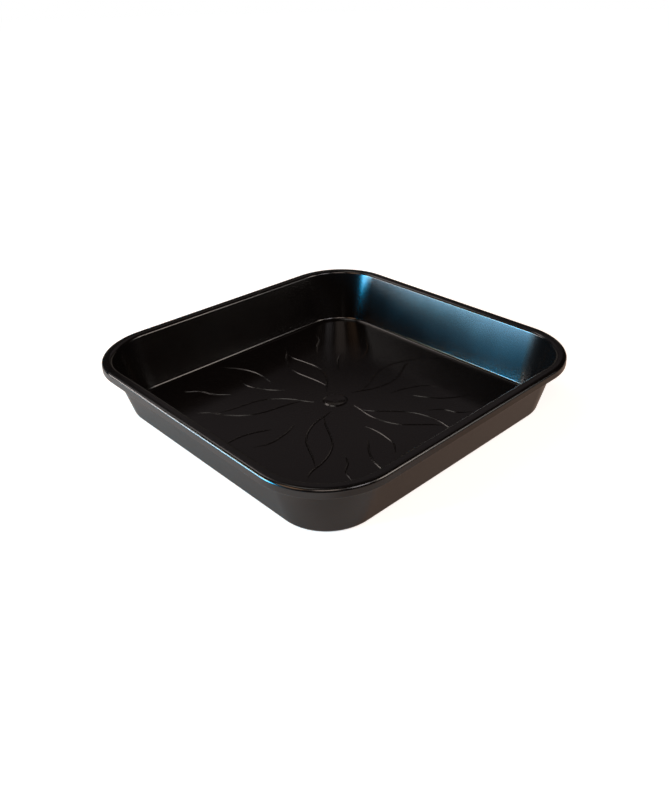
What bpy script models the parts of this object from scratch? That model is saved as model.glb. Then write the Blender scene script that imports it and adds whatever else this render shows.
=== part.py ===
"""Square plant saucer: one injection-moulded tray with a turned-down rim and a floor of wavy drainage ribs.

The saucer is a single moulding. Its upper face is one open surface: a profile that runs from the floor, up the
drafted wall and over the rim, turned a quarter round the axis of a corner, pulled out straight along both sides
and mirrored. A constant wall below that surface makes the shell. The ribs and the round hub in the middle of the
floor are added to it, and the shallow well of the gate is cut from the underside.

Lengths are in metres, +Z is up, and the origin is the middle of the flat face that the saucer stands on.
"""
import math

import bmesh
import bpy
from mathutils import Vector

MM = 0.001

# Body
RIM_SIDE = 300.0 * MM
HEIGHT = 50.0 * MM
RIM_CORNER_RADIUS = 57.5 * MM
WALL = 2.0 * MM
WALL_DRAFT = math.radians(14.0)
FLOOR_FILLET = 3.0 * MM

# Rim
FLANGE_WIDTH = 8.7 * MM
RIM_INNER_RADIUS = 3.0 * MM
RIM_OUTER_RADIUS = 2.5 * MM
CROWN_WIDTH = 3.6 * MM
CROWN_DROP = 0.5 * MM
CROWN_RADIUS = 4.0 * MM
SKIRT_DEPTH = 7.0 * MM
SKIRT_FLARE = 0.2 * MM

# Ribs, which swell from thin ends and rise from the floor as half-round beads
RIB_WIDTH = 2.0 * MM
RIB_HEIGHT = 0.85 * MM
RIB_END = 0.3
RIB_MARGIN = 5.0 * MM
RAY_COUNT = 5

# Hub: a low ring round a shallow dish, over the gate's well in the underside
HUB_RADIUS = 10.4 * MM
HUB_HEIGHT = 0.8 * MM
HUB_SLOPE = 1.0 * MM
HUB_LAND = 0.7 * MM
DISH_RISE = 0.1 * MM
GATE_WELL_RADIUS = 6.0 * MM
GATE_WELL_DEPTH = 0.8 * MM
GATE_WELL_SLOPE = 0.4 * MM

# Fineness of the faceted shape
CORNER_STEPS = 14
FILLET_STEPS = 4
HUB_STEPS = 32
RIB_STEPS = 4
OVERLAP = 0.5 * MM
MERGE = 0.001 * MM

# Worked out from the sizes above
HALF_RIM = RIM_SIDE / 2
CORNER_AXIS = HALF_RIM - RIM_CORNER_RADIUS
FLOOR_TOP = WALL
WALL_TOP_X = HALF_RIM - FLANGE_WIDTH
WALL_FOOT_X = WALL_TOP_X - (HEIGHT - FLOOR_TOP) * math.tan(WALL_DRAFT)
PATTERN_REACH = WALL_FOOT_X - FLOOR_FILLET - RIB_MARGIN

# One fifth of the rib pattern. Each rib is a run of (degrees, share of the pattern's reach).
RAY_RIBS = {
    "ray_right": [(17.5, 0.148), (10.5, 0.214), (5.0, 0.300), (4.8, 0.412), (8.5, 0.535), (14.5, 0.645),
                  (18.5, 0.735), (20.0, 0.800)],
    "ray_left": [(10.5, 0.235), (16.5, 0.310), (23.2, 0.414), (27.0, 0.535), (26.5, 0.635), (23.0, 0.765),
                 (19.4, 0.860), (18.5, 0.955)],
    "leaf_right": [(51.5, 0.555), (49.4, 0.605), (47.2, 0.680), (46.5, 0.765), (47.8, 0.885), (50.6, 1.005)],
    "leaf_left": [(58.8, 0.405), (62.0, 0.475), (63.2, 0.580), (62.2, 0.680), (58.4, 0.770)],
}

# One short rib in each corner of the floor, beyond the rays
CORNER_RIBS = {
    "corner_back_right": [(32.5, 0.655), (34.8, 0.755), (33.4, 0.860), (35.0, 0.955)],
    "corner_back_left": [(148.0, 0.760), (146.6, 0.880), (144.8, 0.990), (145.8, 1.090)],
    "corner_front_left": [(218.0, 0.760), (218.4, 0.880), (216.8, 0.990), (217.8, 1.100)],
    "corner_front_right": [(320.5, 0.655), (322.8, 0.755), (321.4, 0.860), (323.0, 0.955)],
}


def new_collection(name):
    collection = bpy.data.collections.new(name)
    bpy.context.scene.collection.children.link(collection)
    return collection


def new_object(name, data, collection):
    piece = bpy.data.objects.new(name, data)
    collection.objects.link(piece)
    return piece


def mark_as_tool(piece):
    """A tool shapes the saucer and isn't part of it."""
    piece.hide_render = True
    piece.display_type = "WIRE"


def plastic(name, colour, roughness):
    material = bpy.data.materials.new(name)
    material.use_nodes = True
    shader = material.node_tree.nodes["Principled BSDF"]
    shader.inputs["Base Color"].default_value = (*colour, 1.0)
    shader.inputs["Roughness"].default_value = roughness
    shader.inputs["Metallic"].default_value = 0.0
    return material


def fillet(before, corner, after, radius):
    """Points along the arc that rounds one corner of a profile."""
    towards_before = (before - corner).normalized()
    towards_after = (after - corner).normalized()
    half_angle = towards_before.angle(towards_after) / 2
    centre = corner + (towards_before + towards_after).normalized() * (radius / math.sin(half_angle))
    tangent = radius / math.tan(half_angle)
    first = (corner + towards_before * tangent - centre).normalized()
    last = (corner + towards_after * tangent - centre).normalized()
    return [centre + radius * first.slerp(last, step / FILLET_STEPS) for step in range(FILLET_STEPS + 1)]


def rounded(ends, corners):
    """A profile from its two ends and its corners, each corner given as (point, radius)."""
    stops = [ends[0], *(point for point, radius in corners), ends[1]]
    profile = [ends[0]]
    for place, (corner, radius) in enumerate(corners, start=1):
        profile += fillet(stops[place - 1], corner, stops[place + 1], radius)
    return profile + [ends[1]]


def upper_profile():
    """The upper face from a corner's axis to the skirt's lower edge, as (distance from the middle, height)."""
    ends = (Vector((CORNER_AXIS, FLOOR_TOP)), Vector((HALF_RIM, HEIGHT - SKIRT_DEPTH)))
    corners = [
        (Vector((WALL_FOOT_X, FLOOR_TOP)), FLOOR_FILLET),
        (Vector((WALL_TOP_X, HEIGHT)), RIM_INNER_RADIUS),
        (Vector((HALF_RIM - CROWN_WIDTH, HEIGHT)), CROWN_RADIUS),
        (Vector((HALF_RIM - SKIRT_FLARE, HEIGHT - CROWN_DROP)), RIM_OUTER_RADIUS),
    ]
    return rounded(ends, corners)


def quarter_of_upper_face():
    """The profile turned round a corner, pulled out to both planes of symmetry, with a quarter of the floor."""
    axis = Vector((CORNER_AXIS, CORNER_AXIS, 0.0))
    mesh = bmesh.new()
    chain = [mesh.verts.new((x, CORNER_AXIS, z)) for x, z in upper_profile()]
    edges = [mesh.edges.new(pair) for pair in zip(chain, chain[1:])]
    bmesh.ops.spin(mesh, geom=chain + edges, cent=axis, axis=(0, 0, 1), angle=math.pi / 2, steps=CORNER_STEPS)
    bmesh.ops.remove_doubles(mesh, verts=mesh.verts, dist=MERGE)
    for across, along in ((0, 1), (1, 0)):
        flat = [edge for edge in mesh.edges
                if edge.is_boundary and all(abs(v.co[along] - CORNER_AXIS) < MERGE for v in edge.verts)
                and all(v.co[across] > CORNER_AXIS - MERGE for v in edge.verts)]
        pulled = bmesh.ops.extrude_edge_only(mesh, edges=flat)["geom"]
        for vertex in (item for item in pulled if isinstance(item, bmesh.types.BMVert)):
            vertex.co[along] = 0.0
    corners = [(0.0, 0.0), (CORNER_AXIS, 0.0), (CORNER_AXIS, CORNER_AXIS), (0.0, CORNER_AXIS)]
    mesh.faces.new([mesh.verts.new((x, y, FLOOR_TOP)) for x, y in corners])
    bmesh.ops.remove_doubles(mesh, verts=mesh.verts, dist=MERGE)
    bmesh.ops.recalc_face_normals(mesh, faces=mesh.faces)
    if sum(face.normal.z * face.calc_area() for face in mesh.faces) < 0:
        bmesh.ops.reverse_faces(mesh, faces=mesh.faces)
    data = bpy.data.meshes.new("saucer")
    mesh.to_mesh(data)
    mesh.free()
    return data


def add_saucer(collection):
    saucer = new_object("saucer", quarter_of_upper_face(), collection)
    mirror = saucer.modifiers.new("both halves", "MIRROR")
    mirror.use_axis = (True, True, False)
    mirror.use_clip = True
    mirror.merge_threshold = MERGE
    shell = saucer.modifiers.new("wall", "SOLIDIFY")
    shell.thickness = WALL
    shell.offset = -1.0
    shell.use_even_offset = True
    return saucer


def add_rib(name, points, turn, collection):
    """A rib along a smooth line through its points, swelling from thin ends."""
    radius = (RIB_HEIGHT ** 2 + (RIB_WIDTH / 2) ** 2) / (2 * RIB_HEIGHT)
    line = bpy.data.curves.new(name, "CURVE")
    line.dimensions = "3D"
    line.resolution_u = RIB_STEPS
    line.bevel_depth = radius
    line.bevel_resolution = 2
    line.use_fill_caps = True
    spline = line.splines.new("BEZIER")
    spline.bezier_points.add(len(points) - 1)
    for place, (degrees, share) in enumerate(points):
        angle = math.radians(degrees) + turn
        reach = share * PATTERN_REACH
        point = spline.bezier_points[place]
        point.co = (reach * math.cos(angle), reach * math.sin(angle), FLOOR_TOP + RIB_HEIGHT - radius)
        point.handle_left_type = "AUTO"
        point.handle_right_type = "AUTO"
        point.radius = RIB_END if place in (0, len(points) - 1) else 1.0
    guide = new_object(name, line, collection)
    bpy.context.view_layer.update()
    solid = bpy.data.meshes.new_from_object(guide.evaluated_get(bpy.context.evaluated_depsgraph_get()))
    welded = bmesh.new()
    welded.from_mesh(solid)
    bmesh.ops.remove_doubles(welded, verts=welded.verts, dist=MERGE)
    welded.to_mesh(solid)
    welded.free()
    rib = new_object(name + "_solid", solid, collection)
    rib.matrix_world = guide.matrix_world
    bpy.data.objects.remove(guide)
    return rib


def add_turned(name, profile, collection):
    """A solid of revolution about +Z from a profile that runs down its outer side, with both ends on the axis."""
    mesh = bpy.data.meshes.new(name)
    points = [(x, 0.0, z) for x, z in profile]
    mesh.from_pydata(points, [(k, k + 1) for k in range(len(points) - 1)], [])
    turned = new_object(name, mesh, collection)
    screw = turned.modifiers.new("turn", "SCREW")
    screw.steps = HUB_STEPS
    screw.render_steps = HUB_STEPS
    screw.use_merge_vertices = True
    screw.merge_threshold = MERGE
    return turned


def add_hub(collection):
    """A ring whose outer slope meets the floor, round a dish that rises a little above the floor."""
    crest = FLOOR_TOP + HUB_HEIGHT
    dish_radius = HUB_RADIUS - HUB_SLOPE - HUB_LAND
    dish_floor = FLOOR_TOP + DISH_RISE
    dish = [(dish_radius * share, dish_floor + (crest - dish_floor) * share ** 2) for share in (0.0, 0.35, 0.6, 0.8)]
    profile = dish + [(dish_radius, crest), (HUB_RADIUS - HUB_SLOPE, crest), (HUB_RADIUS, FLOOR_TOP)]
    profile += [(HUB_RADIUS, FLOOR_TOP - OVERLAP), (0.0, FLOOR_TOP - OVERLAP)]
    return add_turned("hub", profile, collection)


def add_gate_well(collection):
    """The well in the underside, narrower at its top, cut from below the standing face."""
    profile = [
        (0.0, GATE_WELL_DEPTH),
        (GATE_WELL_RADIUS - GATE_WELL_SLOPE, GATE_WELL_DEPTH),
        (GATE_WELL_RADIUS, 0.0),
        (GATE_WELL_RADIUS, -OVERLAP),
        (0.0, -OVERLAP),
    ]
    return add_turned("gate_well", profile, collection)


def add_floor_pattern(collection):
    pieces = [add_hub(collection)]
    for turn in range(RAY_COUNT):
        for name, points in RAY_RIBS.items():
            pieces.append(add_rib(f"{name}_{turn}", points, turn * math.tau / RAY_COUNT, collection))
    for name, points in CORNER_RIBS.items():
        pieces.append(add_rib(name, points, 0.0, collection))
    return pieces


def shade_smooth(piece):
    piece.data.shade_smooth()
    piece.data.set_sharp_from_angle(angle=math.radians(40))


def build():
    for leftover in list(bpy.data.objects):
        bpy.data.objects.remove(leftover)
    parts = new_collection("square_plant_saucer")
    raised = new_collection("raised_on_the_floor")
    cut = new_collection("cut_from_the_underside")

    saucer = add_saucer(parts)
    for piece in add_floor_pattern(raised):
        mark_as_tool(piece)
    well = add_gate_well(cut)
    mark_as_tool(well)

    union = saucer.modifiers.new("ribs and hub", "BOOLEAN")
    union.operation = "UNION"
    union.operand_type = "COLLECTION"
    union.collection = raised
    recess = saucer.modifiers.new("gate well", "BOOLEAN")
    recess.operation = "DIFFERENCE"
    recess.object = well

    shade_smooth(saucer)
    saucer.data.materials.append(plastic("black_brown_plastic", (0.012, 0.010, 0.009), 0.32))


build()
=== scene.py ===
"""Square plant saucer in a plain studio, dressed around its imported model."""

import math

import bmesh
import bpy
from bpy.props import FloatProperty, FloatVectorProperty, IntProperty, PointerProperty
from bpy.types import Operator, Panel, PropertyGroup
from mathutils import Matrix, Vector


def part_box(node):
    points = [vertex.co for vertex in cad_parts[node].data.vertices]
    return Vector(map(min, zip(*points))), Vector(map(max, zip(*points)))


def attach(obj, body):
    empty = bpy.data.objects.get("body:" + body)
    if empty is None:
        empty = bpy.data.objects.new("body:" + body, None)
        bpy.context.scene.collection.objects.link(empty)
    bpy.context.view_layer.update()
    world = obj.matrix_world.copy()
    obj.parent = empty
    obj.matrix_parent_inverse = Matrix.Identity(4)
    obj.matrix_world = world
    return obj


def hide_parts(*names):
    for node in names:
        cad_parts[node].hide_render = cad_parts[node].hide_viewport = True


bl_info = {
    "name": "Square Plant Saucer",
    "version": (1, 0, 0),
    "blender": (4, 5, 0),
    "location": "3D View > Sidebar > Saucer",
    "description": "Models a square plastic plant saucer and a plain studio for it",
    "category": "Add Mesh",
}

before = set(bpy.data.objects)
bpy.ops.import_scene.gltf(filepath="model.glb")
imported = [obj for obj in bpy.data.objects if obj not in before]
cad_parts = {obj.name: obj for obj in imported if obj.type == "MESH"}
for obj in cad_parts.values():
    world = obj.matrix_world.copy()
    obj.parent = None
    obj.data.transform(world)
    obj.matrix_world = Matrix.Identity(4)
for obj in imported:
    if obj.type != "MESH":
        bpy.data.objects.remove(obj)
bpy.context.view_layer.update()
SAUCER_LOW, SAUCER_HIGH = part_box("saucer")

# Points closer than this count as one
TOUCHING = 1e-6

ORIGIN = (0.0, 0.0, 0.0)
UPWARD = (0.0, 0.0, 1.0)
WHITE = (1.0, 1.0, 1.0, 1.0)

# Facets in a profile's rounded corners, in its turn round an axis, and round a disc
SHELL_ROUNDING_STEPS = 10
SHELL_CORNER_STEPS = 40
HUB_ROUNDING_STEPS = 8
HUB_TURN_STEPS = 96
DISC_STEPS = 96

# Degrees past which an edge stays sharp
SHELL_SHARP_ANGLE = 35
HUB_SHARP_ANGLE = 40
RIB_SHARP_ANGLE = 50

# The dish's points as shares of its radius, and the hub's border, which runs down into the floor
DISH_SHARES = (0.0, 0.15, 0.3, 0.45, 0.6, 0.75, 0.88)
HUB_BORDER = 0.0003
HUB_BORDER_DROP = 0.00005
HUB_SINK = 0.0006

# A rib's cross-section: the shares of each half that are its hollow foot and its rounded top, and how deep
# it reaches into the floor
RIB_OUTLINE_STEPS = 20
RIB_FOOT_SHARE = 0.15
RIB_TOP_SHARE = 0.25
RIB_SINK = 0.0003

# Facets along a rib between two points of its run, and the share of its size left at its two ends
RIB_RUN_STEPS = 14
RIB_END_SHARE = 0.3

# The ribs that repeat round the hub, each a run of (degrees round the hub, share of the pattern's reach)
RAY_RIBS = {
    "ray_right": [(17.5, 0.148), (10.5, 0.214), (5.0, 0.300), (4.8, 0.412), (8.5, 0.535), (14.5, 0.645),
                  (18.5, 0.735), (20.0, 0.800)],
    "ray_left": [(10.5, 0.235), (16.5, 0.310), (23.2, 0.414), (27.0, 0.535), (26.5, 0.635), (23.0, 0.765),
                 (19.4, 0.860), (18.5, 0.955)],
    "leaf_right": [(51.5, 0.555), (49.4, 0.605), (47.2, 0.680), (46.5, 0.765), (47.8, 0.885), (50.6, 1.005)],
    "leaf_left": [(58.8, 0.405), (62.0, 0.475), (63.2, 0.580), (62.2, 0.680), (58.4, 0.770)],
}

# One short rib in each corner of the floor
CORNER_RIBS = {
    "corner_back_right": [(32.5, 0.655), (34.8, 0.755), (33.4, 0.860), (35.0, 0.955)],
    "corner_back_left": [(148.0, 0.760), (146.6, 0.880), (144.8, 0.990), (145.8, 1.090)],
    "corner_front_left": [(218.0, 0.760), (218.4, 0.880), (216.8, 0.990), (217.8, 1.100)],
    "corner_front_right": [(320.5, 0.655), (322.8, 0.755), (321.4, 0.860), (323.0, 0.955)],
}

# Greys of the noise between which the gloss clouds over, and a spot turns from sound to scuffed
CLOUD_BAND = (0.35, 0.65)
SCUFF_BAND = (0.56, 0.72)
PLASTIC_IOR = 1.5

# Each lamp's azimuth from +X and elevation in degrees, width and height in metres, watts and colour
SOFTBOXES = {
    "back_left": (134.0, 43.5, 1.30, 0.78, 0.46, (1.0, 0.86, 0.88)),
    "rim_right": (40.0, 20.0, 0.40, 0.40, 1.35, (1.0, 0.97, 0.92)),
    "right": (0.0, 46.0, 0.45, 0.45, 3.8, (1.0, 0.93, 0.96)),
    "back_right": (30.0, 32.0, 0.45, 0.45, 5.0, (1.0, 0.87, 0.77)),
    "left": (187.0, 51.0, 0.40, 0.40, 1.8, (1.0, 0.88, 0.82)),
    "left_low": (199.0, 38.0, 0.42, 0.30, 0.5, (1.0, 0.98, 0.95)),
    "above": (195.0, 75.0, 0.40, 0.40, 1.2, (1.0, 0.93, 0.86)),
    "front": (268.0, 44.0, 0.60, 0.60, 3.5, (1.0, 0.60, 0.36)),
    "front_right": (316.0, 52.0, 0.55, 0.55, 3.9, (1.0, 0.82, 0.72)),
    "window_side": (213.0, 19.0, 0.26, 0.16, 2.0, (1.0, 0.90, 0.86)),
    "window_low": (239.0, 5.0, 0.75, 0.27, 12.6, (0.46, 0.75, 1.0)),
    "window_end": (225.0, 10.0, 0.28, 0.18, 3.3, (1.0, 0.89, 0.84)),
    "window_middle": (233.0, 8.5, 0.16, 0.20, 2.9, (0.10, 0.70, 1.0)),
    "window_high": (247.0, 12.0, 0.45, 0.26, 27.0, (0.0, 0.52, 1.0)),
    "window_top": (241.0, 20.0, 0.30, 0.15, 4.2, (1.0, 0.72, 0.36)),
    "window_left": (232.0, 20.0, 0.20, 0.20, 1.2, (1.0, 0.94, 0.55)),
    "low_band": (138.0, 14.0, 2.00, 0.30, 0.4, (1.0, 0.86, 0.74)),
}

# Width of the camera's sensor in millimetres, and the nearest distance that it sees in metres
SENSOR_WIDTH = 36.0
NEAREST_SEEN = 0.01


def number(name, description, default):
    return FloatProperty(name=name, description=description, default=default)


def length(name, description, default):
    return FloatProperty(name=name, description=description, default=default, unit="LENGTH", precision=5)


def share(name, description, default):
    return FloatProperty(name=name, description=description, default=default, min=0.0, max=1.0,
                         subtype="FACTOR")


def angle(name, description, degrees):
    return FloatProperty(name=name, description=description, default=math.radians(degrees), subtype="ANGLE")


def tint(name, description, red, green, blue):
    return FloatVectorProperty(name=name, description=description, subtype="COLOR", size=4, min=0.0, max=1.0,
                               default=(red, green, blue, 1.0))


class SaucerSizes(PropertyGroup):
    """Sizes of the moulded tray."""

    rim_side: length("Rim side", "Width of the rim from side to side", SAUCER_HIGH.x - SAUCER_LOW.x)
    height: length("Height", "Height of the rim above the standing face", SAUCER_HIGH.z - SAUCER_LOW.z)
    rim_corner_radius: length("Rim corner", "Radius of the rim's corners seen from above", 0.0575)
    wall: length("Wall", "Thickness of the floor, the walls and the skirt", 0.002)
    wall_draft: angle("Wall draft", "Lean of the walls away from upright", 14.0)
    floor_fillet: length("Floor fillet", "Radius between the floor and the inner walls", 0.0036)
    base_fillet: length("Base fillet", "Radius between the outer walls and the standing face", 0.005)
    flange_width: length("Flange width", "Width of the rim from its outer edge to the inner wall", 0.0087)
    flange_root_radius: length("Flange root", "Radius between the outer wall and the rim's underside", 0.001)
    rim_inner_radius: length("Rim inner radius", "Rounding between the inner wall and the rim", 0.003)
    rim_outer_radius: length("Rim outer radius", "Rounding of the rim's outer edge", 0.0026)
    crown_width: length("Crown width", "Width of the rim's outer land, which slopes outwards", 0.0036)
    crown_drop: length("Crown drop", "Fall of the outer land", 0.0005)
    crown_radius: length("Crown radius", "Rounding between the rim's level land and its outer land", 0.004)
    skirt_depth: length("Skirt depth", "Depth of the turned-down skirt", 0.007)
    skirt_flare: length("Skirt flare", "How far the skirt leans out towards its lower edge", 0.0002)
    skirt_root_radius: length("Skirt root", "Radius between the rim's underside and the skirt", 0.0006)
    skirt_edge_radius: length("Skirt edge radius", "Rounding of the skirt's lower edge", 0.0007)
    rib_width: length("Rib width", "Width of a rib where it meets the floor", 0.0020)
    rib_height: length("Rib height", "Height of a rib above the floor", 0.00044)
    rib_margin: length("Rib margin", "Bare floor between the ribs' outer ends and the floor fillet", 0.005)
    ray_count: IntProperty(name="Rays", description="Times the rib pattern repeats round the hub", default=5,
                           min=1)
    hub_radius: length("Hub radius", "Outer radius of the hub's ring", 0.0108)
    hub_height: length("Hub height", "Height of the hub's ring above the floor", 0.0007)
    hub_slope: length("Hub slope", "Width of the ring's outer slope", 0.0016)
    hub_land: length("Hub land", "Width of the ring's top", 0.0005)
    hub_edge_radius: length("Hub edge radius", "Rounding of both edges of the ring's top", 0.0005)
    hub_foot_radius: length("Hub foot radius", "Rounding between the outer slope and the floor", 0.0004)
    dish_depth: length("Dish depth", "How far the dish's middle lies below the floor", 0.0001)
    gate_well_radius: length("Gate well radius", "Radius of the shallow well in the underside", 0.006)
    gate_well_depth: length("Gate well depth", "Depth of the well in the underside", 0.0008)

    @property
    def corner_axis(self):
        """Distance of each corner's axis from the middle, along X and along Y."""
        return self.rim_side / 2 - self.rim_corner_radius

    def inner_wall(self, z):
        """Distance of the inner wall from the middle at a height."""
        return self.rim_side / 2 - self.flange_width - (self.height - z) * math.tan(self.wall_draft)

    def outer_wall(self, z):
        """Distance of the outer wall from the middle at a height."""
        return self.inner_wall(z) + self.wall / math.cos(self.wall_draft)

    @property
    def pattern_reach(self):
        """Radius that the ribs' shares are counted from."""
        return self.inner_wall(self.wall) - self.floor_fillet - self.rib_margin


class SaucerFinish(PropertyGroup):
    """Look of the plastic."""

    colour: tint("Colour", "Colour of the moulded plastic", 0.0024, 0.0017, 0.0015)
    streak_colour: tint("Streak colour", "Colour where the melt flowed thin", 0.0038, 0.0029, 0.0026)
    worn_colour: tint("Worn colour", "Colour where edges are rubbed pale", 0.016, 0.015, 0.015)
    worn_cover: share("Worn cover", "How far the worn colour covers a rubbed spot", 0.45)
    worn_reach: length("Worn reach", "Reach of the rubbing from the rim's top and from the foot", 0.0012)
    scuff_scale: number("Scuff scale", "Scuffs to the metre", 420.0)
    streak_turns: number("Streak turns", "Streaks to the radian round the gate", 9.0)
    streak_runs: number("Streak runs", "Breaks to the metre along a streak", 14.0)
    roughness: share("Roughness", "Roughness of the smooth mould faces", 0.165)
    roughness_spread: share("Roughness spread", "How far the roughness wanders", 0.03)
    cloud_scale: number("Cloud scale", "Clouds in the gloss to the metre", 16.0)
    streak_dulling: share("Streak dulling", "Roughness that a streak adds", 0.05)
    worn_dulling: share("Worn dulling", "Roughness that rubbing adds", 0.06)
    grain_scale: number("Grain scale", "Grains of the mould texture to the metre", 1800.0)
    grain_strength: share("Grain strength", "Strength of the mould texture", 0.08)
    grain_depth: length("Grain depth", "Depth of the mould texture", 0.00001)
    ripple_scale: number("Ripple scale", "Ripples in the faces to the metre", 9.0)
    ripple_strength: share("Ripple strength", "Strength of the ripples", 0.15)
    ripple_depth: length("Ripple depth", "Depth of the ripples", 0.0003)


class StudioSettings(PropertyGroup):
    """Camera, floor and light."""

    focal_length: number("Focal length", "Focal length in millimetres", 33.13)
    shift_x: number("Shift X", "Sideways shift of the picture", -0.0276)
    shift_y: number("Shift Y", "Upward shift of the picture", 0.0147)
    camera_place: FloatVectorProperty(name="Camera place", description="Where the camera stands", size=3,
                                      subtype="TRANSLATION", precision=5,
                                      default=(0.402072, -0.361576, 0.3184))
    camera_yaw: angle("Camera yaw", "Turn of the camera from facing +Y", 46.14)
    camera_pitch: angle("Camera pitch", "Downward tilt of the camera", 31.3)
    camera_roll: angle("Camera roll", "Roll of the camera", -1.03)
    lamp_distance: length("Lamp distance", "Distance of the lamps from the middle of the standing face", 1.5)
    aim_height: length("Aim height", "Height above the floor that the lamps face", 0.02)
    room_colour: tint("Room colour", "Colour of the dim room round the set", 0.004, 0.004, 0.004)
    floor_radius: length("Floor radius", "Radius of the studio floor", 6.0)
    floor_colour: tint("Floor colour", "Colour of the studio floor", 0.80, 0.65, 0.55)
    near_white: share("Near white", "White that the camera sees added to the floor by the saucer", 0.75)
    near_edge: length("Near edge", "Distance from the middle at which the added white starts to grow", 0.25)
    far_edge: length("Far edge", "Distance from the middle at which the added white is full", 1.2)
    # The gloss white is painted light: a glow on the floor in front that only reflections see, brightening
    # the near walls' reflections.
    gloss_white: share("Gloss white", "White added to the floor in front, as the plastic mirrors it", 0.42)
    gloss_start: length("Gloss start", "Y at which the mirrored white starts", -0.15)
    gloss_end: length("Gloss end", "Y from which the mirrored white is full", -0.19)


def clear_selection():
    if bpy.context.mode != "OBJECT":
        bpy.ops.object.mode_set(mode="OBJECT")
    bpy.ops.object.select_all(action="DESELECT")


def pick(kind, test):
    """Selects what passes the test among the vertices, edges or faces of the mesh being edited."""
    bpy.ops.mesh.select_mode(type=kind)
    bpy.ops.mesh.select_all(action="DESELECT")
    data = bpy.context.edit_object.data
    mesh = bmesh.from_edit_mesh(data)
    group = {"VERT": mesh.verts, "EDGE": mesh.edges, "FACE": mesh.faces}[kind]
    for item in group:
        if test(item):
            item.select_set(True)
    mesh.select_flush_mode()
    bmesh.update_edit_mesh(data)


def draw_wire(name, corners, rounding_steps):
    """Extrudes a wire in the XZ plane and rounds its corners, each given as (x, z, radius)."""
    clear_selection()
    bpy.ops.mesh.primitive_plane_add(location=ORIGIN, enter_editmode=True)
    bpy.context.object.name = name
    bpy.ops.mesh.select_mode(type="VERT")
    bpy.ops.mesh.select_all(action="SELECT")
    bpy.ops.mesh.merge(type="CENTER")
    points = [Vector((x, 0.0, z)) for x, z, radius in corners]
    bpy.ops.transform.translate(value=points[0])
    for start, end in zip(points, points[1:]):
        bpy.ops.mesh.extrude_region_move(TRANSFORM_OT_translate={"value": end - start})
    for before, (x, z, radius), after in zip(points, corners[1:], points[2:]):
        if radius:
            corner = Vector((x, 0.0, z))
            half_angle = (before - corner).angle(after - corner) / 2
            pick("VERT", lambda vertex: (vertex.co - corner).length < TOUCHING)
            bpy.ops.mesh.bevel(affect="VERTICES", offset_type="OFFSET", offset=radius / math.tan(half_angle),
                               segments=rounding_steps, profile=0.5, clamp_overlap=False)
    return bpy.context.object


def weld():
    bpy.ops.mesh.select_all(action="SELECT")
    bpy.ops.mesh.remove_doubles(threshold=TOUCHING)


def face_outwards():
    bpy.ops.mesh.select_all(action="SELECT")
    bpy.ops.mesh.normals_make_consistent(inside=False)


def apply_modifier(kind, **settings):
    bpy.ops.object.modifier_add(type=kind)
    modifier = bpy.context.object.modifiers[-1]
    for name, value in settings.items():
        setattr(modifier, name, value)
    bpy.ops.object.modifier_apply(modifier=modifier.name)


def smooth(degrees):
    """Smooths the faces, keeps edges past the angle sharp and large flat faces flat."""
    bpy.ops.object.shade_smooth_by_angle(angle=math.radians(degrees))
    apply_modifier("WEIGHTED_NORMAL", keep_sharp=True, weight=90)


def finish_piece(piece):
    piece.data.materials.clear()
    piece.data.materials.append(moulded_plastic())
    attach(piece, "root")
    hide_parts("saucer")


class NodeSheet:
    """Builds a shader from nodes. An input given as a socket is linked, and any other is set."""

    def __init__(self, owner):
        owner.use_nodes = True
        self.tree = owner.node_tree
        self.tree.nodes.clear()

    def add(self, kind, inputs=(), **settings):
        node = self.tree.nodes.new(kind)
        for name, value in settings.items():
            setattr(node, name, value)
        for socket, value in dict(inputs).items():
            target = node.inputs[socket]
            if isinstance(value, bpy.types.NodeSocket):
                self.tree.links.new(value, target)
            else:
                target.default_value = value
        return node

    def work_out(self, operation, *values, clamp=False):
        """Result of a sum of up to three values."""
        node = self.add("ShaderNodeMath", enumerate(values), operation=operation, use_clamp=clamp)
        return node.outputs["Value"]

    def remap(self, value, low, high, to_low=0.0, to_high=1.0):
        """Value moved from one range to another and held within it."""
        ranges = {"Value": value, "From Min": low, "From Max": high, "To Min": to_low, "To Max": to_high}
        return self.add("ShaderNodeMapRange", ranges, clamp=True).outputs["Result"]

    def noise(self, place, scale, detail, roughness):
        inputs = {"Vector": place, "Scale": scale, "Detail": detail, "Roughness": roughness}
        return self.add("ShaderNodeTexNoise", inputs).outputs["Fac"]

    def mix(self, factor, first, second):
        """Colour between two colours."""
        inputs = {"Factor": factor, "A": first, "B": second}
        return self.add("ShaderNodeMix", inputs, data_type="RGBA").outputs["Result"]

    def bump(self, height, strength, depth, **normal):
        inputs = {"Height": height, "Strength": strength, "Distance": depth, **normal}
        return self.add("ShaderNodeBump", inputs).outputs["Normal"]


def flow_streaks(sheet, place, axes):
    """Streaks that run outwards from the gate, as the melt did."""
    finish = bpy.context.scene.saucer_finish
    turn = sheet.work_out("ARCTAN2", axes["Y"], axes["X"])
    reach = sheet.add("ShaderNodeVectorMath", {0: place}, operation="LENGTH").outputs["Value"]
    spokes = sheet.add("ShaderNodeCombineXYZ", {"X": turn, "Y": reach}).outputs["Vector"]
    stretch = (finish.streak_turns, finish.streak_runs, 1.0)
    flow = sheet.add("ShaderNodeMapping", {"Vector": spokes, "Scale": stretch}).outputs["Vector"]
    return sheet.noise(flow, scale=1.0, detail=5.0, roughness=0.65)


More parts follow.
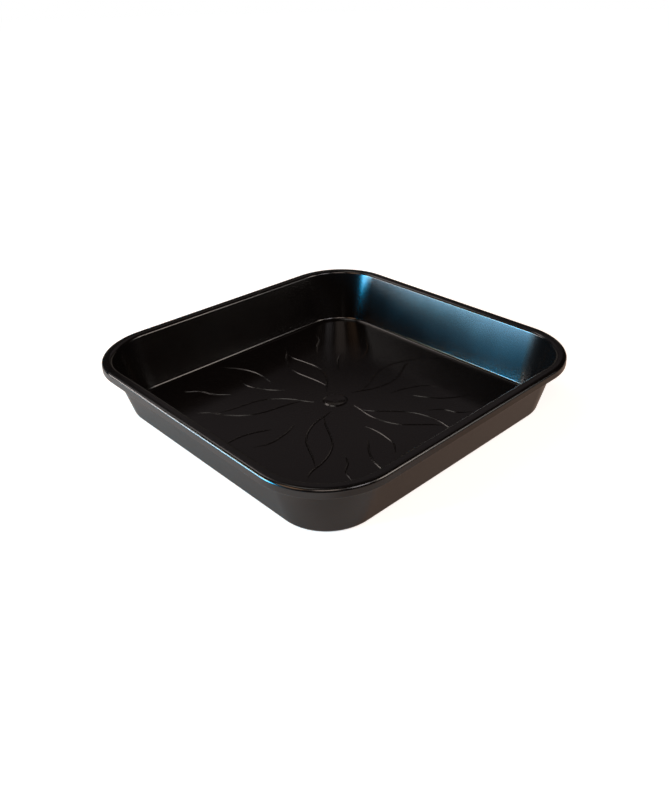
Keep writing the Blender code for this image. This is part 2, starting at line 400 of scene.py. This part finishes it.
def rubbed_edges(sheet, place, height):
    """Scuffed spots on the rim's top and on the foot, from 0 to 1."""
    size = bpy.context.scene.saucer_sizes
    finish = bpy.context.scene.saucer_finish
    rim_edge = sheet.remap(height, size.height - finish.worn_reach, size.height)
    foot_edge = sheet.remap(height, finish.worn_reach, 0.0)
    edges = sheet.work_out("ADD", rim_edge, foot_edge)
    scuffs = sheet.noise(place, scale=finish.scuff_scale, detail=6.0, roughness=0.7)
    return sheet.work_out("MULTIPLY", edges, sheet.remap(scuffs, *SCUFF_BAND), clamp=True)


def plastic_colour(sheet, streaks, wear):
    finish = bpy.context.scene.saucer_finish
    streaked = sheet.mix(streaks, finish.colour, finish.streak_colour)
    return sheet.mix(sheet.work_out("MULTIPLY", wear, finish.worn_cover), streaked, finish.worn_colour)


def plastic_roughness(sheet, place, streaks, wear):
    finish = bpy.context.scene.saucer_finish
    smoothest = finish.roughness - finish.roughness_spread / 2
    dullest = finish.roughness + finish.roughness_spread / 2
    cloud = sheet.noise(place, scale=finish.cloud_scale, detail=2.0, roughness=0.5)
    clouded = sheet.remap(cloud, *CLOUD_BAND, smoothest, dullest)
    streaked = sheet.work_out("MULTIPLY_ADD", streaks, finish.streak_dulling, clouded)
    return sheet.work_out("MULTIPLY_ADD", wear, finish.worn_dulling, streaked)


def plastic_relief(sheet, place):
    finish = bpy.context.scene.saucer_finish
    grain = sheet.noise(place, scale=finish.grain_scale, detail=1.0, roughness=0.5)
    ripple = sheet.noise(place, scale=finish.ripple_scale, detail=1.0, roughness=0.4)
    fine = sheet.bump(grain, finish.grain_strength, finish.grain_depth)
    return sheet.bump(ripple, finish.ripple_strength, finish.ripple_depth, Normal=fine)


def moulded_plastic():
    """Satin near-black plastic with flow streaks from the gate, a fine mould texture and rubbed edges."""
    name = "moulded_plastic"
    if name in bpy.data.materials:
        return bpy.data.materials[name]
    material = bpy.data.materials.new(name)
    sheet = NodeSheet(material)
    place = sheet.add("ShaderNodeTexCoord").outputs["Object"]
    axes = sheet.add("ShaderNodeSeparateXYZ", {"Vector": place}).outputs
    streaks = flow_streaks(sheet, place, axes)
    wear = rubbed_edges(sheet, place, axes["Z"])
    shader = sheet.add("ShaderNodeBsdfPrincipled", {
        "Base Color": plastic_colour(sheet, streaks, wear),
        "Roughness": plastic_roughness(sheet, place, streaks, wear),
        "Normal": plastic_relief(sheet, place),
        "IOR": PLASTIC_IOR,
    })
    sheet.add("ShaderNodeOutputMaterial", {"Surface": shader.outputs["BSDF"]})
    return material


class SAUCER_OT_add_shell(Operator):
    """Model the floor, walls, rim and skirt as one closed moulding"""

    bl_idname = "saucer.add_shell"
    bl_label = "Add Shell"
    bl_options = {"REGISTER", "UNDO"}

    def add_quarter_corner(self, size):
        """Turns the profile, from the underside over the rim to the floor, round a corner's axis."""
        edge = size.rim_side / 2
        axis = size.corner_axis
        skirt_low = size.height - size.skirt_depth
        under_flange = size.height - size.wall
        profile = [
            (axis, 0.0, 0.0),
            (size.outer_wall(0.0), 0.0, size.base_fillet),
            (size.outer_wall(under_flange), under_flange, size.flange_root_radius),
            (edge - size.wall, under_flange, size.skirt_root_radius),
            (edge - size.wall, skirt_low, size.skirt_edge_radius),
            (edge, skirt_low, size.skirt_edge_radius),
            (edge - size.skirt_flare, size.height - size.crown_drop, size.rim_outer_radius),
            (edge - size.crown_width, size.height, size.crown_radius),
            (edge - size.flange_width, size.height, size.rim_inner_radius),
            (size.inner_wall(size.wall), size.wall, size.floor_fillet),
            (axis, size.wall, 0.0),
        ]
        shell = draw_wire("saucer_shell", profile, SHELL_ROUNDING_STEPS)
        bpy.ops.mesh.select_all(action="SELECT")
        bpy.ops.transform.translate(value=(0.0, axis, 0.0))
        bpy.ops.mesh.spin(steps=SHELL_CORNER_STEPS, angle=-math.pi / 2, center=(axis, axis, 0.0),
                          axis=UPWARD)
        weld()
        return shell

    def extrude_sides(self, axis):
        """Pulls the two ends of the corner out to the middles of the sides, and its floor to the middle."""
        for across, along in ((0, 1), (1, 0)):
            pick("EDGE", lambda item: item.is_boundary and all(
                abs(vertex.co[along] - axis) < TOUCHING and vertex.co[across] > axis - TOUCHING
                for vertex in item.verts))
            move = [0.0, 0.0, 0.0]
            move[along] = -axis
            bpy.ops.mesh.extrude_region_move(TRANSFORM_OT_translate={"value": move})
        pick("EDGE", lambda item: item.is_boundary and all(
            abs(vertex.co.x - axis) < TOUCHING and vertex.co.y < axis + TOUCHING for vertex in item.verts)
            and abs(item.verts[0].co.z - item.verts[1].co.z) < TOUCHING)
        bpy.ops.mesh.extrude_region_move(TRANSFORM_OT_translate={"value": (-axis, 0.0, 0.0)})
        weld()
        face_outwards()

    def cut_gate_well(self, shell, size):
        clear_selection()
        bpy.ops.mesh.primitive_cylinder_add(vertices=DISC_STEPS, radius=size.gate_well_radius,
                                            depth=2 * size.gate_well_depth, location=ORIGIN)
        well = bpy.context.object
        bpy.context.view_layer.objects.active = shell
        apply_modifier("BOOLEAN", operation="DIFFERENCE", object=well, solver="EXACT")
        bpy.data.objects.remove(well)

    def execute(self, context):
        size = context.scene.saucer_sizes
        shell = self.add_quarter_corner(size)
        self.extrude_sides(size.corner_axis)
        bpy.ops.object.mode_set(mode="OBJECT")
        apply_modifier("MIRROR", use_axis=(True, True, False), use_clip=True, merge_threshold=TOUCHING)
        self.cut_gate_well(shell, size)
        clear_selection()
        shell.select_set(True)
        context.view_layer.objects.active = shell
        smooth(SHELL_SHARP_ANGLE)
        finish_piece(shell)
        return {"FINISHED"}


class SAUCER_OT_add_hub(Operator):
    """Model the low ring and its dish in the middle of the floor"""

    bl_idname = "saucer.add_hub"
    bl_label = "Add Hub"
    bl_options = {"REGISTER", "UNDO"}

    def execute(self, context):
        size = context.scene.saucer_sizes
        floor = size.wall
        crest = floor + size.hub_height
        land_out = size.hub_radius - size.hub_slope
        land_in = land_out - size.hub_land
        middle = floor - size.dish_depth
        border = size.hub_radius + HUB_BORDER
        profile = [(land_in * part, middle + (crest - middle) * part ** 2, 0.0) for part in DISH_SHARES]
        profile += [
            (land_in, crest, size.hub_edge_radius),
            (land_out, crest, size.hub_edge_radius),
            (size.hub_radius, floor, size.hub_foot_radius),
            (border, floor - HUB_BORDER_DROP, 0.0),
            (border, floor - HUB_SINK, 0.0),
            (0.0, floor - HUB_SINK, 0.0),
        ]
        hub = draw_wire("saucer_hub", profile, HUB_ROUNDING_STEPS)
        bpy.ops.mesh.select_all(action="SELECT")
        bpy.ops.mesh.spin(steps=HUB_TURN_STEPS, angle=math.tau, center=ORIGIN, axis=UPWARD)
        weld()
        face_outwards()
        bpy.ops.object.mode_set(mode="OBJECT")
        smooth(HUB_SHARP_ANGLE)
        finish_piece(hub)
        return {"FINISHED"}


class SAUCER_OT_add_ribs(Operator):
    """Sweep the wavy ribs over the floor and join them"""

    bl_idname = "saucer.add_ribs"
    bl_label = "Add Ribs"
    bl_options = {"REGISTER", "UNDO"}

    def flank_rise(self, inward):
        """Height of a rib's flank, from 0 at its foot to 1 at its top, as it goes inward from 0 to 1."""
        slope_rise = 1 - (RIB_FOOT_SHARE + RIB_TOP_SHARE) / 2
        if inward < RIB_FOOT_SHARE:
            rise = inward ** 2 / (2 * RIB_FOOT_SHARE)
        elif inward < 1 - RIB_TOP_SHARE:
            rise = inward - RIB_FOOT_SHARE / 2
        else:
            rise = slope_rise - (1 - inward) ** 2 / (2 * RIB_TOP_SHARE)
        return rise / slope_rise

    def add_cross_section(self, size):
        """Outline of a rib's cross-section, with two even flanks, a rounded top and a hollow foot."""
        half_width = size.rib_width / 2
        outline = []
        for step in range(RIB_OUTLINE_STEPS + 1):
            across = 2 * step / RIB_OUTLINE_STEPS - 1
            outline.append((across * half_width, size.rib_height * self.flank_rise(1 - abs(across))))
        outline += [(half_width, -RIB_SINK), (-half_width, -RIB_SINK)]
        clear_selection()
        bpy.ops.curve.primitive_bezier_circle_add(location=ORIGIN)
        section = bpy.context.object
        section.name = "rib_section"
        section.data.splines.clear()
        spline = section.data.splines.new("POLY")
        spline.points.add(len(outline) - 1)
        for point, (x, y) in zip(spline.points, outline):
            point.co = (x, y, 0.0, 1.0)
        spline.use_cyclic_u = True
        return section

    def add_rib(self, name, run, turn, section, size):
        """Sweeps the cross-section along a smooth run that is turned round the hub."""
        clear_selection()
        bpy.ops.curve.primitive_bezier_curve_add(location=ORIGIN)
        bpy.context.object.name = name
        curve = bpy.context.object.data
        curve.dimensions = "3D"
        curve.twist_mode = "Z_UP"
        curve.resolution_u = RIB_RUN_STEPS
        curve.bevel_mode = "OBJECT"
        curve.bevel_object = section
        curve.use_fill_caps = True
        points = curve.splines[0].bezier_points
        points.add(len(run) - len(points))
        for point, (degrees, part) in zip(points, run):
            heading = math.radians(degrees) + turn
            reach = part * size.pattern_reach
            point.co = (reach * math.cos(heading), reach * math.sin(heading), size.wall)
            point.handle_left_type = "AUTO"
            point.handle_right_type = "AUTO"
            point.radius = 1.0
        points[0].radius = RIB_END_SHARE
        points[-1].radius = RIB_END_SHARE
        bpy.ops.object.convert(target="MESH")
        return bpy.context.object

    def execute(self, context):
        size = context.scene.saucer_sizes
        section = self.add_cross_section(size)
        parts = []
        for repeat in range(size.ray_count):
            for name, run in RAY_RIBS.items():
                turn = repeat * math.tau / size.ray_count
                parts.append(self.add_rib(f"{name}_{repeat}", run, turn, section, size))
        for name, run in CORNER_RIBS.items():
            parts.append(self.add_rib(name, run, 0.0, section, size))
        bpy.data.objects.remove(section)
        clear_selection()
        for part in parts:
            part.select_set(True)
        context.view_layer.objects.active = parts[0]
        bpy.ops.object.join()
        ribs = context.object
        ribs.name = "saucer_ribs"
        bpy.ops.object.mode_set(mode="EDIT")
        weld()
        face_outwards()
        bpy.ops.object.mode_set(mode="OBJECT")
        bpy.ops.object.shade_smooth_by_angle(angle=math.radians(RIB_SHARP_ANGLE))
        finish_piece(ribs)
        return {"FINISHED"}


def studio_floor_material():
    """Pale floor that keeps the saucer's shadow and whitens with distance, with a painted glow in front that
    only the plastic's gloss shows.
    """
    studio = bpy.context.scene.studio_settings
    material = bpy.data.materials.new("studio_floor")
    sheet = NodeSheet(material)
    place = sheet.add("ShaderNodeTexCoord").outputs["Object"]
    axes = sheet.add("ShaderNodeSeparateXYZ", {"Vector": place}).outputs
    across = sheet.work_out("ABSOLUTE", axes["X"])
    along = sheet.work_out("ABSOLUTE", axes["Y"])
    away = sheet.work_out("MAXIMUM", across, along)
    horizon = sheet.remap(away, studio.near_edge, studio.far_edge, studio.near_white, 1.0)
    # Painted light: a glow in front of the saucer that only glossy rays see, so that the near walls mirror a
    # brighter floor.
    mirrored = sheet.remap(axes["Y"], studio.gloss_start, studio.gloss_end, 0.0, studio.gloss_white)
    rays = sheet.add("ShaderNodeLightPath").outputs
    shown = sheet.work_out("MULTIPLY", horizon, rays["Is Camera Ray"])
    glow = sheet.work_out("MULTIPLY_ADD", mirrored, rays["Is Glossy Ray"], shown)
    paper = sheet.add("ShaderNodeBsdfDiffuse", {"Color": studio.floor_colour})
    white = sheet.add("ShaderNodeEmission", {"Strength": glow})
    both = sheet.add("ShaderNodeAddShader", {0: paper.outputs["BSDF"], 1: white.outputs["Emission"]})
    sheet.add("ShaderNodeOutputMaterial", {"Surface": both.outputs["Shader"]})
    return material


def add_floor():
    radius = bpy.context.scene.studio_settings.floor_radius
    clear_selection()
    bpy.ops.mesh.primitive_circle_add(vertices=DISC_STEPS, radius=radius, fill_type="NGON", location=ORIGIN)
    floor = bpy.context.object
    floor.name = "studio_floor"
    floor.data.materials.append(studio_floor_material())


def add_softbox(name, azimuth, elevation, width, height, power, colour):
    """Adds a lamp that faces the saucer and stays out of the camera's sight."""
    studio = bpy.context.scene.studio_settings
    around, above = math.radians(azimuth), math.radians(elevation)
    level = math.cos(above)
    heading = Vector((level * math.cos(around), level * math.sin(around), math.sin(above)))
    place = heading * studio.lamp_distance
    target = Vector((0.0, 0.0, studio.aim_height))
    clear_selection()
    bpy.ops.object.light_add(type="AREA", location=place)
    lamp = bpy.context.object
    lamp.name = name
    lamp.data.name = name
    lamp.data.shape = "RECTANGLE"
    lamp.data.size = width
    lamp.data.size_y = height
    lamp.data.energy = power
    lamp.data.color = colour
    lamp.rotation_euler = (target - place).to_track_quat("-Z", "Y").to_euler()
    lamp.visible_camera = False


def add_room():
    """Adds a dim room that the camera sees as white."""
    world = bpy.data.worlds.new("studio_room")
    bpy.context.scene.world = world
    sheet = NodeSheet(world)
    rays = sheet.add("ShaderNodeLightPath").outputs
    room = sheet.add("ShaderNodeBackground", {"Color": bpy.context.scene.studio_settings.room_colour})
    white = sheet.add("ShaderNodeBackground", {"Color": WHITE})
    both = sheet.add("ShaderNodeMixShader", {0: rays["Is Camera Ray"], 1: room.outputs["Background"],
                                             2: white.outputs["Background"]})
    sheet.add("ShaderNodeOutputWorld", {"Surface": both.outputs["Shader"]})


def add_camera():
    studio = bpy.context.scene.studio_settings
    turn = (Matrix.Rotation(studio.camera_yaw, 3, "Z")
            @ Matrix.Rotation(math.pi / 2 - studio.camera_pitch, 3, "X")
            @ Matrix.Rotation(studio.camera_roll, 3, "Z"))
    clear_selection()
    bpy.ops.object.camera_add(location=studio.camera_place, rotation=turn.to_euler())
    camera = bpy.context.object
    camera.name = "studio_camera"
    camera.data.sensor_fit = "AUTO"
    camera.data.sensor_width = SENSOR_WIDTH
    camera.data.lens = studio.focal_length
    camera.data.shift_x = studio.shift_x
    camera.data.shift_y = studio.shift_y
    camera.data.clip_start = NEAREST_SEEN
    bpy.context.scene.camera = camera


class SAUCER_OT_add_studio(Operator):
    """Add the studio floor, the soft lights, the room and the camera"""

    bl_idname = "saucer.add_studio"
    bl_label = "Add Studio"
    bl_options = {"REGISTER", "UNDO"}

    def execute(self, context):
        add_floor()
        for name, values in SOFTBOXES.items():
            add_softbox(name, *values)
        add_room()
        add_camera()
        context.scene.view_settings.view_transform = "Standard"
        return {"FINISHED"}


STEPS = (SAUCER_OT_add_shell, SAUCER_OT_add_hub, SAUCER_OT_add_ribs, SAUCER_OT_add_studio)
GROUPS = {"saucer_sizes": SaucerSizes, "saucer_finish": SaucerFinish, "studio_settings": StudioSettings}


class VIEW3D_PT_saucer(Panel):
    """Sizes, finish and steps of the saucer"""

    bl_label = "Square Plant Saucer"
    bl_space_type = "VIEW_3D"
    bl_region_type = "UI"
    bl_category = "Saucer"

    def draw(self, context):
        for title, group in zip(("Sizes", "Finish", "Studio"), GROUPS):
            box = self.layout.box()
            box.label(text=title)
            for name in GROUPS[group].__annotations__:
                box.prop(getattr(context.scene, group), name)
        for step in STEPS:
            self.layout.operator(step.bl_idname)


def register():
    for name, group in GROUPS.items():
        bpy.utils.register_class(group)
        setattr(bpy.types.Scene, name, PointerProperty(type=group))
    for step in STEPS:
        bpy.utils.register_class(step)
    bpy.utils.register_class(VIEW3D_PT_saucer)


def unregister():
    bpy.utils.unregister_class(VIEW3D_PT_saucer)
    for step in reversed(STEPS):
        bpy.utils.unregister_class(step)
    for name, group in GROUPS.items():
        delattr(bpy.types.Scene, name)
        bpy.utils.unregister_class(group)


def main():
    register()
    bpy.ops.saucer.add_shell()
    bpy.ops.saucer.add_hub()
    bpy.ops.saucer.add_ribs()
    bpy.ops.saucer.add_studio()


if __name__ == "__main__":
    main()
